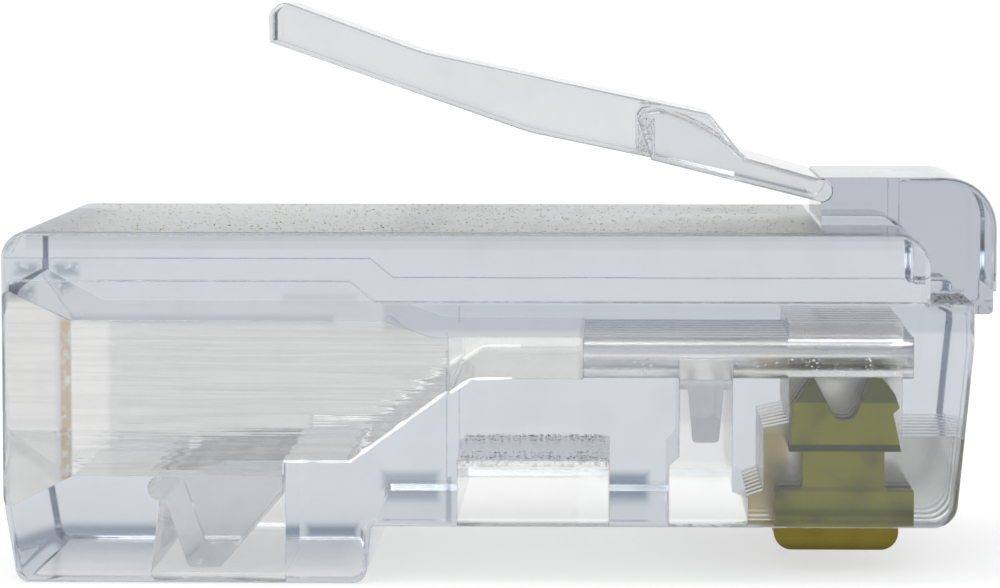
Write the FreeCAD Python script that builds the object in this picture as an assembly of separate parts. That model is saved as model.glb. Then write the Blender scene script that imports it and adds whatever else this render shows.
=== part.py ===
"""Eight-way modular plug for twisted-pair data cable, as supplied, before it is crimped.

One clear moulded housing holds eight stamped contacts. A springy latch rises from its nose,
and two bars moulded into its underside are pushed in by the crimping tool: one grips the
cable jacket and one grips the eight wires.

Frame: millimetres, +X out of the nose, +Y across the plug, +Z towards the latch.
The origin is below the middle of the plug, on the plane that its cable end stands on.
Lengths along the plug are stated as distances back from the front face, and heights
are stated above the base.
"""

import FreeCAD
import Part

import math
import os

Vector = FreeCAD.Vector

# Housing shell
body_length = 21.46
body_width = 11.68
body_height = 7.80
front_rise = 1.27  # underside of the front part above the base
cable_block_length = 8.17  # deep part at the cable end
cable_block_draft = 0.13
rear_face_draft = 0.31
rear_draft_height = 1.90
front_face_draft = 0.38
front_draft_height = 5.30
shell_edge_radius = 0.20
rear_top_radius = 0.60
front_bottom_radius = 0.55
block_corner_radius = 0.30

# Parting line: above it each side face stands back a little
parting_step = 0.04
parting_rise = 0.45  # how much higher it runs at the cable end than at the shoulders
parting_rise_front = 13.18
parting_rise_rear = 13.73

# Shoulders beside the nose block
shoulder_setback = 0.97
shoulder_drop = 1.53  # below the top of the housing
shoulder_radius = 0.80

# Nose block that carries the latch
nose_width = 6.10
nose_reach = 0.72  # how far it stands ahead of the front face
nose_drop = 0.47  # how far it hangs below the shoulders
nose_lip_step = 0.08
nose_lip_rise = 0.52  # lip above the nose's underside
nose_length = 2.22  # from its front back to the narrower latch root
nose_radius = 1.15
nose_edge_radius = 0.12

# Latch: its heights are stated above the top of the housing
hinge_back = 3.25  # hinge line, back from the front face
hinge_rise = 0.78
hinge_radius = 0.25  # half the thickness of the thin hinge
hinge_slope = math.radians(13.8)
hinge_clearance = 0.02
hinge_cover = 0.03  # plastic left above the hinge's seat
hinge_length = 1.78  # how far back the thin hinge runs
hinge_growth = 0.06  # how much thicker it is at that end
latch_width = 5.80
tongue_width = 3.20
locking_back = 7.08  # foot of the locking shoulders
locking_lean = 0.32
wing_rise = 2.60
wing_crown_length = 0.50  # nearly flat top of the locking shoulders
wing_crown_drop = 0.20
wing_dip = 0.36  # sag of the hollow ramp below the shoulders' top
spine_corner = (5.75, 2.47)
spine_radius = 0.25
ramp_radius = 0.35
tongue_bend = (12.30, 3.87)
tongue_bend_radius = 4.0
tongue_knee = (9.87, 2.04)
tongue_knee_radius = 4.0
tongue_tip = (15.85, 4.11)
tongue_tip_height = 0.94
tongue_tip_slope = (0.30, 0.25)  # corner taken off its top
latch_edge_radius = 0.10

# Jacket cavity
side_wall = 1.34
jacket_roof = 5.78
jacket_floor = 2.28
jacket_sill = 2.61  # floor ahead of the jacket bar
mouth_depth = 1.45
mouth_flare_side = 0.70
mouth_flare_up = 0.75
mouth_flare_down = 0.70
jacket_roof_end = 13.00
jacket_floor_end = 13.85
wire_ramp_end = 11.10
jacket_end = 11.60

# Wire channels
wire_pitch = 1.016
wire_count = 8
wire_bore = 0.95
wire_height = 4.935  # centre line above the base
wire_web_gap = 0.52  # open height between neighbouring wires
wire_slot_margin = 0.17
wire_comb_start = 8.60
wire_end = 1.25

# Contacts
contact_thickness = 0.35
contact_height = 4.00
contact_protrusion = 0.75
contact_travel = 1.15
contact_front = 1.22
contact_rear = 4.31
contact_foot_front = 1.51
contact_foot_radius = 0.40
contact_foot_height = 0.72
contact_base_height = 1.46
contact_neck_front = 1.88
contact_neck_rear = 3.71
contact_barb_height = 2.31
contact_head_front = 1.51
contact_head_rear = 4.01
contact_notch_radius = 0.33

# Contact slots
slot_clearance = 0.025
slot_rear_gap = 0.29
slot_lead = 0.33
slot_lead_height = 0.58
slot_front_height = 1.93

# Pocket under the middle of the plug
pocket_front = 8.02
pocket_rear = 11.43
pocket_depth = 1.36
pocket_width = 8.00

# Jacket bar and its window
jacket_window_front = 15.30
jacket_window_rear = 18.15
jacket_window_width = 6.40
jacket_window_draft = 0.26
bar_side_clearance = 0.05
bar_front_clearance = 0.08
jacket_hinge_height = 1.92
jacket_hinge_radius = 0.25
jacket_hinge_groove = 0.26  # gap in the floor that lets the bar swing
jacket_bar_step = 0.20
jacket_bar_foot = 0.71
jacket_bar_foot_rear = 0.65
jacket_bar_foot_height = 0.12
jacket_bar_shoulder = 1.75

# Wire bar and its window
wire_window_front = 5.27
wire_window_rear = 6.48
wire_recess_rear = 6.70
wire_recess_top = 2.75
wire_bar_clearance = 0.02
wire_bar_web = 0.22
wire_bar_top_length = 0.80
wire_bar_foot_length = 0.58
wire_bar_height = 1.41

front_face = (body_length + nose_reach) / 2 - nose_reach
underside = front_rise
shoulder_height = body_height - shoulder_drop
nose_bottom = shoulder_height - nose_drop
nose_lip_height = nose_bottom + nose_lip_rise
hinge_height = body_height + hinge_rise
wing_top = body_height + wing_rise
nose_top = hinge_height + hinge_radius + hinge_clearance + hinge_cover
wire_floor = wire_height - wire_bore / 2
wire_roof = wire_height + wire_bore / 2
wire_slot_width = wire_count * wire_pitch + wire_slot_margin
cut_margin = 0.5  # how far a cutter runs past the face that it opens


def at(back, height):
    """A point on the plug's middle plane: back from the front face, up from the base."""
    return Vector(front_face - back, 0, height)


def outline(corners):
    """A closed wire in the XZ plane. Each corner is (back, height, radius)."""
    points = [at(back, height) for back, height, _ in corners]
    count = len(points)
    arrivals = []
    departures = []
    for i, (_, _, radius) in enumerate(corners):
        into = (points[i - 1] - points[i]).normalize()
        out = (points[(i + 1) % count] - points[i]).normalize()
        half_angle = into.getAngle(out) / 2
        reach = radius / math.tan(half_angle)
        arrivals.append(points[i] + into * reach)
        departures.append(points[i] + out * reach)
    edges = []
    for i, (_, _, radius) in enumerate(corners):
        if radius > 0:
            middle = (arrivals[i] + departures[i]) / 2 - points[i]
            half_chord = (arrivals[i] - departures[i]).Length / 2
            half_angle = math.atan2(half_chord, middle.Length)
            depth = radius / math.sin(half_angle) - radius
            apex = points[i] + middle.normalize() * depth
            edges.append(Part.Arc(arrivals[i], apex, departures[i]).toShape())
        following = arrivals[(i + 1) % count]
        if (following - departures[i]).Length > 1e-6:
            edges.append(Part.LineSegment(departures[i], following).toShape())
    return Part.Wire(edges)


def across(wire, width, centre=0.0):
    """The wire's area drawn out across the plug, evenly about a centre line."""
    face = Part.Face(wire)
    face.translate(Vector(0, centre - width / 2, 0))
    return face.extrude(Vector(0, width, 0))


def block(rear, front, bottom, top, width, centre=0.0):
    """A plain box between two distances back from the front face."""
    corner = Vector(front_face - rear, centre - width / 2, bottom)
    return Part.makeBox(rear - front, width, top - bottom, corner)


def barrel(back, height, radius, width):
    """A cylinder lying across the plug, centred on its middle plane."""
    start = at(back, height) - Vector(0, width / 2, 0)
    return Part.makeCylinder(radius, width, start, Vector(0, 1, 0))


def side_edges(shape, half_width, keep=lambda edge: True):
    """The edges that lie in either side face of a shape."""
    found = []
    for edge in shape.Edges:
        box = edge.BoundBox
        flat = box.YLength < 1e-6
        if flat and abs(abs(box.YMin) - half_width) < 1e-6 and keep(edge):
            found.append(edge)
    return found


def wire_centres():
    """Places of the wires across the plug, from the near side to the far side."""
    first = -(wire_count - 1) / 2 * wire_pitch
    return [first + i * wire_pitch for i in range(wire_count)]


def make_shell():
    """The housing's outer form, with the block at its nose, before anything is cut out."""
    side = outline(
        [
            (body_length - rear_face_draft, 0, block_corner_radius),
            (body_length - cable_block_length + cable_block_draft, 0, block_corner_radius),
            (body_length - cable_block_length, underside, 0.1),
            (front_face_draft, underside, front_bottom_radius),
            (0, front_draft_height, 1.0),
            (0, shoulder_height, 0.1),
            (shoulder_setback, shoulder_height, 0.08),
            (shoulder_setback, body_height, shoulder_radius),
            (body_length, body_height, rear_top_radius),
            (body_length, rear_draft_height, 1.0),
        ]
    )
    shell = across(side, body_width)
    shell = shell.makeFillet(shell_edge_radius, side_edges(shell, body_width / 2))
    upper_half = outline(
        [
            (shoulder_setback / 2, body_height + cut_margin, 0),
            (shoulder_setback / 2, shoulder_height, 0),
            (parting_rise_front, shoulder_height, 0),
            (parting_rise_rear, shoulder_height + parting_rise, 0),
            (body_length + cut_margin, shoulder_height + parting_rise, 0),
            (body_length + cut_margin, body_height + cut_margin, 0),
        ]
    )
    shell = shell.cut([across(upper_half, 2 * parting_step, y * body_width / 2) for y in (-1, 1)])
    buried = 0.9  # how far the nose block runs down into the shell
    nose_rear = nose_length - nose_reach
    nose = across(
        outline(
            [
                (nose_rear, body_height - buried, 0),
                (nose_rear, nose_top, 0),
                (-nose_reach, nose_top, nose_radius),
                (-nose_reach, nose_lip_height, 0),
                (nose_lip_step - nose_reach, nose_lip_height, 0),
                (nose_lip_step - nose_reach, nose_bottom, nose_edge_radius),
                (shoulder_setback, nose_bottom, 0),
                (shoulder_setback, body_height - buried, 0),
            ]
        ),
        nose_width,
    )
    rounded = side_edges(
        nose,
        nose_width / 2,
        lambda edge: edge.BoundBox.ZMax > body_height and edge.BoundBox.XMax > front_face - nose_rear + 1e-3,
    )
    nose = nose.makeFillet(nose_edge_radius, rounded)
    root = block(hinge_back, nose_rear, body_height - buried, nose_top, latch_width)
    seat = barrel(hinge_back, hinge_height, hinge_radius + hinge_clearance, latch_width + 2 * cut_margin)
    return shell.fuse([nose, root]).cut(seat).removeSplitter()


def make_mouth():
    """The flared way into the jacket cavity, as a cutter."""
    inner_half = body_width / 2 - side_wall
    depth = body_length - mouth_depth

    def frame_wire(back, half, bottom, top):
        corners = [(-half, bottom), (half, bottom), (half, top), (-half, top)]
        points = [Vector(front_face - back, y, z) for y, z in corners]
        return Part.makePolygon(points + points[:1])

    outer = frame_wire(
        body_length,
        inner_half + mouth_flare_side,
        jacket_floor - mouth_flare_down,
        jacket_roof + mouth_flare_up,
    )
    inner = frame_wire(depth, inner_half, jacket_floor, jacket_roof)
    flare = Part.makeLoft([outer, inner], True, True)
    opening = block(
        body_length + cut_margin,
        body_length,
        jacket_floor - mouth_flare_down,
        jacket_roof + mouth_flare_up,
        2 * (inner_half + mouth_flare_side),
    )
    return flare.fuse(opening)


def make_jacket_cavity():
    """The space for the cable jacket, which narrows to the height of the wires."""
    wire = outline(
        [
            (body_length - mouth_depth + 0.01, jacket_floor, 0),
            (body_length - mouth_depth + 0.01, jacket_roof, 0),
            (jacket_roof_end, jacket_roof, 0.6),
            (jacket_end + 0.35, wire_roof, 0.6),
            (jacket_end, wire_roof, 0),
            (jacket_end, wire_roof - 0.1, 0),
            (wire_ramp_end + 0.5, wire_floor + 0.1 - 0.34, 0),
            (jacket_floor_end, jacket_sill, 0.4),
            (jacket_window_front + 0.02, jacket_sill, 0),
            (jacket_window_front + 0.02, jacket_floor, 0),
        ]
    )
    return across(wire, body_width - 2 * side_wall)


def make_wire_entry():
    """The flat slot that leads the wires from the jacket cavity to the channels."""
    wire = outline(
        [
            (jacket_end + 0.01, wire_roof, 0),
            (wire_comb_start, wire_roof, 0),
            (wire_comb_start, wire_floor, 0),
            (wire_ramp_end, wire_floor, 0.3),
            (jacket_end + 0.01, wire_floor - 0.34, 0),
        ]
    )
    return across(wire, wire_slot_width)


def make_wire_channels():
    """Eight blind round channels side by side, joined by the low gaps between wires."""
    length = wire_comb_start + 0.05 - wire_end
    channels = []
    for centre in wire_centres():
        start = Vector(front_face - wire_comb_start - 0.05, centre, wire_height)
        channels.append(Part.makeCylinder(wire_bore / 2, length, start, Vector(1, 0, 0)))
    half_gap = wire_web_gap / 2
    joined = block(
        wire_comb_start + 0.05,
        wire_end,
        wire_height - half_gap,
        wire_height + half_gap,
        (wire_count - 1) * wire_pitch,
    )
    return channels[0].fuse(channels[1:] + [joined])


def slot_outline():
    """The side view of one contact slot, open at the underside and the front face."""
    rear = contact_rear + slot_rear_gap
    head_rear = contact_head_rear + slot_clearance
    head_front = contact_head_front - slot_clearance
    contact_top = underside - contact_protrusion + contact_height
    ledge = underside - contact_protrusion + contact_base_height + contact_travel + 0.25
    top = contact_top + contact_travel + 0.06
    return outline(
        [
            (rear + slot_lead, underside - cut_margin, 0),
            (rear + slot_lead, underside + slot_lead_height, 0),
            (rear, underside + slot_lead_height + 0.12, 0),
            (rear, ledge, 0),
            (head_rear, ledge + 0.12, 0),
            (head_rear, top, 0),
            (head_front, top, 0),
            (head_front, underside + slot_front_height, 0),
            (-cut_margin, underside + slot_front_height, 0),
            (-cut_margin, underside - cut_margin, 0),
        ]
    )


def make_contact_slots():
    """The eight slots that the contacts stand in."""
    width = contact_thickness + 2 * slot_clearance
    wire = slot_outline()
    return [across(wire, width, centre) for centre in wire_centres()]


def make_jacket_window():
    """The opening under the jacket cavity in which the jacket bar swings."""
    wire = outline(
        [
            (jacket_window_rear, jacket_sill + 0.1, 0),
            (jacket_window_front, jacket_sill + 0.1, 0),
            (jacket_window_front, -cut_margin, 0),
            (jacket_window_rear + jacket_window_draft, -cut_margin, 0),
            (jacket_window_rear, jacket_hinge_height - jacket_hinge_radius, 0),
        ]
    )
    seat = barrel(
        jacket_window_rear,
        jacket_hinge_height,
        jacket_hinge_radius + hinge_clearance,
        jacket_window_width,
    )
    return across(wire, jacket_window_width).fuse(seat)


def make_wire_window():
    """The recess behind the contacts and the window above it for the wire bar."""
    recess = across(
        outline(
            [
                (wire_recess_rear, underside - cut_margin, 0),
                (wire_recess_rear, wire_recess_top - 0.2, 0),
                (wire_window_rear, wire_recess_top, 0),
                (wire_window_front, wire_recess_top, 0),
                (wire_window_front, underside + slot_lead_height + 0.12, 0),
                (contact_rear + slot_rear_gap + slot_lead, underside + slot_lead_height, 0),
                (contact_rear + slot_rear_gap + slot_lead, underside - cut_margin, 0),
            ]
        ),
        wire_slot_width,
    )
    window = block(
        wire_window_rear, wire_window_front, wire_recess_top - 0.1, wire_height, wire_slot_width
    )
    return recess.fuse(window)


def make_pocket():
    """The hollow that keeps the middle of the moulding from sinking."""
    return block(
        pocket_rear, pocket_front, underside - cut_margin, underside + pocket_depth, pocket_width
    )


def make_housing():
    """The clear moulding, with every cavity, window and slot."""
    cutters = [
        make_mouth(),
        make_jacket_cavity(),
        make_wire_entry(),
        make_wire_channels(),
        make_jacket_window(),
        make_wire_window(),
        make_pocket(),
    ]
    return make_shell().cut(cutters + make_contact_slots())


def make_latch():
    """The latch: a thin hinge, two locking shoulders and the finger tongue."""
    lean_back = hinge_radius * math.sin(hinge_slope)
    lean_up = hinge_radius * math.cos(hinge_slope)
    hinge_under = (hinge_back + lean_back, hinge_height - lean_up)
    hinge_top = (hinge_back - lean_back, hinge_height + lean_up)
    locking_foot = (
        locking_back,
        hinge_under[1] + (locking_back - hinge_under[0]) * math.tan(hinge_slope),
    )
    ramp_foot = (
        hinge_top[0] + hinge_length,
        hinge_top[1] + hinge_length * math.tan(hinge_slope) + hinge_growth,
    )
    tip_back, tip_rise = tongue_tip
    tip_height = body_height + tip_rise
    tip_top = tip_height + tongue_tip_height
    slope_length, slope_height = tongue_tip_slope
    spine = across(
        outline(
            [
                (*hinge_under, 0),
                (*hinge_top, 0),
                (*ramp_foot, ramp_radius),
                (spine_corner[0], body_height + spine_corner[1], spine_radius),
                (tongue_bend[0], body_height + tongue_bend[1], tongue_bend_radius),
                (tip_back - slope_length, tip_top, slope_length),
                (tip_back, tip_top - slope_height, slope_height * 0.8),
                (tip_back, tip_height, 0.08),
                (tongue_knee[0], body_height + tongue_knee[1], tongue_knee_radius),
                (*locking_foot, 0),
            ]
        ),
        tongue_width,
    )
    behind_hinge = front_face - hinge_back - hinge_length / 2
    spine = spine.makeFillet(
        latch_edge_radius,
        side_edges(spine, tongue_width / 2, lambda edge: edge.BoundBox.XMin < behind_hinge),
    )
    wing_rear = locking_back + locking_lean
    crown = (wing_rear - wing_crown_length, wing_top)
    ramp_middle = ((ramp_foot[0] + crown[0]) / 2 + wing_dip / 6, wing_top - wing_dip)
    wing_edge = [
        (wing_rear - wing_crown_length / 4, wing_top - wing_crown_drop / 4),
        (wing_rear, wing_top - wing_crown_drop),
        locking_foot,
        hinge_under,
        hinge_top,
        ramp_foot,
    ]
    edges = [Part.Arc(at(*ramp_foot), at(*ramp_middle), at(*crown)).toShape()]
    for start, end in zip([crown] + wing_edge[:-1], wing_edge):
        edges.append(Part.LineSegment(at(*start), at(*end)).toShape())
    wings = across(Part.Wire(Part.sortEdges(edges)[0]), latch_width)
    wings = wings.makeFillet(
        latch_edge_radius,
        side_edges(wings, latch_width / 2, lambda edge: edge.BoundBox.XMin < behind_hinge),
    )
    roll = barrel(hinge_back, hinge_height, hinge_radius, latch_width)
    return wings.fuse([spine, roll]).removeSplitter()


def make_jacket_bar():
    """The wedge that the crimping tool swings up against the cable jacket."""
    foot_rear = jacket_window_rear - jacket_bar_foot_rear
    front = jacket_window_front + bar_front_clearance
    low = jacket_hinge_height - jacket_hinge_radius
    groove = jacket_window_rear - jacket_hinge_groove
    wire = outline(
        [
            (jacket_window_rear, jacket_hinge_height + jacket_hinge_radius, 0),
            (groove, jacket_hinge_height + jacket_hinge_radius, 0),
            (groove - 0.06, jacket_floor, 0),
            (groove - 0.45, jacket_floor, 0),
            (groove - 1.20, jacket_floor + jacket_bar_step, 0),
            (front, jacket_floor + jacket_bar_step, 0),
            (front, jacket_bar_shoulder, 0),
            (foot_rear - jacket_bar_foot, jacket_bar_foot_height, 0.12),
            (foot_rear, jacket_bar_foot_height, 0.12),
            (jacket_window_rear - 0.12, low, 0),
            (jacket_window_rear, low, 0),
        ]
    )
    width = jacket_window_width - 2 * bar_side_clearance
    roll = barrel(jacket_window_rear, jacket_hinge_height, jacket_hinge_radius, width)
    return across(wire, width).fuse(roll).removeSplitter()


def make_wire_bar():
    """The bar behind the contacts that the crimping tool pushes up against the wires."""
    middle = (wire_window_front + wire_window_rear) / 2
    rear = wire_window_rear - wire_bar_clearance
    front = wire_window_front + wire_bar_clearance
    wire = outline(
        [
            (rear, wire_floor, 0),
            (front, wire_floor, 0),
            (front, wire_floor - wire_bar_web, 0),
            (middle - wire_bar_top_length / 2, wire_floor - wire_bar_web, 0),
            (middle - wire_bar_foot_length / 2, wire_floor - wire_bar_height, 0.1),
            (middle + wire_bar_foot_length / 2, wire_floor - wire_bar_height, 0.1),
            (middle + wire_bar_top_length / 2, wire_floor - wire_bar_web, 0),
            (rear, wire_floor - wire_bar_web, 0),
        ]
    )
    return across(wire, wire_slot_width - 2 * bar_side_clearance)


def contact_outline():
    """The side view of a contact: foot, base, neck, and a head with barbs and two tines."""
    low = underside - contact_protrusion
    top = low + contact_height
    notch_left = contact_head_rear - 0.53
    notch_right = contact_head_front + 0.70
    notch_middle = (notch_left + notch_right) / 2 - 0.08
    return outline(
        [
            (contact_rear, low, contact_foot_radius),
            (contact_foot_front, low, contact_foot_radius),
            (contact_foot_front, low + contact_foot_height, 0),
            (contact_front, low + contact_foot_height, 0),
            (contact_front, low + contact_base_height, 0.05),
            (contact_neck_front, low + contact_base_height, 0.08),
            (contact_neck_front, low + contact_barb_height, 0),
            (contact_head_front, low + contact_barb_height, 0),
            (contact_head_front + 0.18, low + contact_barb_height + 0.86, 0),
            (contact_head_front + 0.04, low + contact_barb_height + 0.98, 0),
            (contact_head_front + 0.14, low + contact_barb_height + 1.28, 0),
            (contact_head_front + 0.42, top - 0.04, 0.08),
            (notch_right, top, 0),
            (notch_middle - 0.20, top - 1.02, contact_notch_radius * 0.8),
            (notch_middle + 0.20, top - 0.98, 0.1),
            (notch_left, top, 0),
            (contact_head_rear - 0.12, top - 0.60, 0),
            (contact_head_rear - 0.05, top - 0.67, 0),
            (contact_head_rear - 0.10, top - 0.84, 0),
            (contact_head_rear, contact_barb_height + low, 0),
            (contact_neck_rear, low + contact_barb_height, 0),
            (contact_neck_rear, low + contact_base_height, 0.08),
            (contact_rear, low + contact_base_height, 0.05),
        ]
    )


def make_contacts():
    """Eight stamped contacts, one in each slot, standing proud as before crimping."""
    wire = contact_outline()
    return [across(wire, contact_thickness, centre) for centre in wire_centres()]


def main():
    os.makedirs("parts", exist_ok=True)
    parts = {
        "housing": make_housing(),
        "latch": make_latch(),
        "jacket_bar": make_jacket_bar(),
        "wire_bar": make_wire_bar(),
    }
    for number, contact in enumerate(make_contacts(), start=1):
        parts[f"contact_{number}"] = contact
    for name, shape in parts.items():
        print(name, shape.isValid(), len(shape.Solids), round(shape.Volume, 3))
        shape.exportStep(f"parts/{name}.step")


main()
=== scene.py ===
"""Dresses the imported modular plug: clear moulding, gold contacts, dust and a pale studio."""

import math
from collections import namedtuple

import bmesh
import bpy
from bpy.props import FloatProperty, FloatVectorProperty, IntProperty, PointerProperty
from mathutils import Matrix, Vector


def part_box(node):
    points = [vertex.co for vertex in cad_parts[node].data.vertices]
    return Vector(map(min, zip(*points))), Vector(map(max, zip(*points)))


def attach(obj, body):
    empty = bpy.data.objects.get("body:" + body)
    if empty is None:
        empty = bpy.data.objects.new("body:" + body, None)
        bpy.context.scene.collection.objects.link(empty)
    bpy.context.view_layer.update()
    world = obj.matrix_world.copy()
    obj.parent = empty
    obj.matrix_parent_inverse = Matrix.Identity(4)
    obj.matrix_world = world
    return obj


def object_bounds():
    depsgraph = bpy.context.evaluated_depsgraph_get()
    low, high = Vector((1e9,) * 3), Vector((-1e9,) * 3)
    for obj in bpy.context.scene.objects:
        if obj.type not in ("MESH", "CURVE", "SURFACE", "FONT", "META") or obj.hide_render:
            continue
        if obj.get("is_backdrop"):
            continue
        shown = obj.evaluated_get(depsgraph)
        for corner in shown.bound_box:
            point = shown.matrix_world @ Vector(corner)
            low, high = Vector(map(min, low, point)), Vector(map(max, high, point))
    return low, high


bl_info = {
    "name": "Modular Plug Dresser",
    "version": (1, 0, 0),
    "blender": (4, 5, 0),
    "location": "View3D > Sidebar > Plug",
    "description": "Finishes for a clear modular plug and its contacts",
    "category": "Object",
}

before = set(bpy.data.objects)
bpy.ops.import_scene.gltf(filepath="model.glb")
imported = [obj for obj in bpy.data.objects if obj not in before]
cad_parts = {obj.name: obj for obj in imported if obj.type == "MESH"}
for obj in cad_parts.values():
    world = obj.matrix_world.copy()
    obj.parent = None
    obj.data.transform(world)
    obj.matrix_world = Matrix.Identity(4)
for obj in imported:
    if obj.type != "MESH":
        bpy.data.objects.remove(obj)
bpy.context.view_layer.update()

MM = 0.001
CONTACTS = sorted(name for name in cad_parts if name.startswith("contact_"))
HALF_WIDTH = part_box("housing")[1][1]

# Places on the housing, in mm: heights above the bench, and distances from its middle plane
TOP = 7.80
LEDGE = 6.27
POCKET_CEILING = 2.67
CHANNEL_MIDDLE = 4.93
CHANNEL_FOOT = 4.58
CAVITY_WALL = 4.47
COMB_WALL = 4.12
COMB_REACH = 4.1

# Bands of painted shade across a contact, in mm: lowest place, highest place and strength
CONTACT_SHADE_BANDS = ((2.86, 2.97, 1.0), (3.95, 4.60, 0.75), (1.40, 1.52, 0.30), (1.95, 2.02, 0.35))

# Colours of the marks in the clear plastic: stains, mould lines and grain, and also painted shade and
# painted reflections of the gold contacts
# Painted shade on the plug's sides, also the colour of the mould lines
SHADE_AND_MOULD_LINES = (0.13, 0.18, 0.24)
RUST = (0.52, 0.38, 0.20)
# Painted shade over the nose
NOSE_SHADE = (0.52, 0.54, 0.58)
# Painted shade in the recess behind the contacts
RECESS_SHADE = (0.71, 0.72, 0.75)
# Painted reflection of the gold contacts in the slot walls
SLOT_GOLD_REFLECTION = (0.86, 0.82, 0.66)
# Painted shade in the slots
SLOT_SHADE = (0.92, 0.92, 0.92)
# Painted reflection of the gold contacts near their tips
TIP_GOLD_REFLECTION = (0.62, 0.46, 0.24)
TOP_DUST = (0.76, 0.74, 0.63)
ERODED_GRAIN = (0.42, 0.45, 0.42)
BLADE_CLEAR = (0.985, 0.98, 0.97)

# Colours of the studio as clear plastic and plating see it
HORIZON = (1.0, 1.0, 1.0)
OVERHEAD = (0.72, 0.74, 0.78)
FRONT_REFLECTED = (0.30, 0.31, 0.31)
FRONT_THROUGH = (0.76, 0.77, 0.80)
WINDOW = (4.0, 4.0, 4.0)
WINDOW_DIRECTION = Vector((-0.35, -0.30, 0.89)).normalized()

# A box for a mask, in metres, and a kind of mark: its colour, whether it is patchy,
# whether its boxes hold for one half of the plug only, and the boxes
Box = namedtuple("Box", "low high soft strength")
Mark = namedtuple("Mark", "color patchy one_side boxes")


# ---------------------------------------------------------------- sizes and colours


class PlugPlasticSettings(bpy.types.PropertyGroup):
    """The clear plastic that the housing, latch and bars are moulded in."""

    absorption_color: FloatVectorProperty(
        name="Body tint",
        description="Colour left after light has passed through the plastic",
        subtype="COLOR",
        size=3,
        min=0.0,
        max=1.0,
        default=(0.304, 0.392, 0.519),
    )
    absorption_density: FloatProperty(
        name="Tint density",
        description="How quickly the plastic takes up light, per metre",
        default=60.0,
        min=0.0,
    )
    surface_tint: FloatVectorProperty(
        name="Surface tint",
        description="Colour that light picks up each time it crosses a face",
        subtype="COLOR",
        size=3,
        min=0.0,
        max=1.0,
        default=(0.93, 0.925, 0.905),
    )
    cavity_tint: FloatVectorProperty(
        name="Cavity tint",
        description="The same for the long side walls of the jacket cavity",
        subtype="COLOR",
        size=3,
        min=0.0,
        max=1.0,
        default=(0.705, 0.711, 0.712),
    )
    latch_tint: FloatVectorProperty(
        name="Latch tint",
        description="The same for the much handled latch",
        subtype="COLOR",
        size=3,
        min=0.0,
        max=1.0,
        default=(0.80, 0.80, 0.785),
    )
    edge_rounding: FloatProperty(
        name="Edge rounding",
        description="Radius at which the moulded edges catch the light",
        subtype="DISTANCE",
        unit="LENGTH",
        default=0.05 * MM,
    )
    dusty_roughness: FloatProperty(
        name="Dusty roughness",
        description="Roughness added where fine dust lies on the top",
        default=0.27,
        min=0.0,
        max=1.0,
    )
    worked_roughness: FloatProperty(
        name="Worked roughness",
        description="Roughness of the slots and channels, which thin mould blades leave",
        default=0.07,
        min=0.0,
        max=1.0,
    )
    frosted_roughness: FloatProperty(
        name="Frosted roughness",
        description="Roughness added in the wire channels",
        default=0.12,
        min=0.0,
        max=1.0,
    )
    refraction: FloatProperty(
        name="Refractive index", description="Refractive index of the resin", default=1.585
    )
    roughness: FloatProperty(
        name="Polish",
        description="Roughness of the polished mould faces",
        default=0.03,
        min=0.0,
        max=1.0,
    )
    eroded_roughness: FloatProperty(
        name="Eroded roughness",
        description="Roughness where the mould was spark eroded",
        default=0.22,
        min=0.0,
        max=1.0,
    )
    texture_depth: FloatProperty(
        name="Eroded depth",
        description="Height of the spark eroded texture",
        subtype="DISTANCE",
        unit="LENGTH",
        default=0.03 * MM,
    )


class PlugContactSettings(bpy.types.PropertyGroup):
    """The plated contacts."""

    plating_color: FloatVectorProperty(
        name="Plating",
        description="Colour of the gold plating",
        subtype="COLOR",
        size=3,
        min=0.0,
        max=1.0,
        default=(0.20, 0.20, 0.006),
    )
    tarnish_color: FloatVectorProperty(
        name="Tarnish",
        description="Colour of the duller, older patches",
        subtype="COLOR",
        size=3,
        min=0.0,
        max=1.0,
        default=(0.12, 0.12, 0.005),
    )
    foot_color: FloatVectorProperty(
        name="Foot",
        description="Colour of the foot that stands out of the plastic",
        subtype="COLOR",
        size=3,
        min=0.0,
        max=1.0,
        default=(0.21, 0.165, 0.035),
    )
    # Painted shade: the dark bands at the barbs and tips and the darker bottom of the foot
    band_shade_color: FloatVectorProperty(
        name="Painted shade",
        description="Colour of the dark bands at the barbs and tips",
        subtype="COLOR",
        size=3,
        min=0.0,
        max=1.0,
        default=(0.03, 0.045, 0.010),
    )
    roughness: FloatProperty(
        name="Roughness", description="Roughness of the stamped faces", default=0.34, min=0.0, max=1.0
    )


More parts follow.
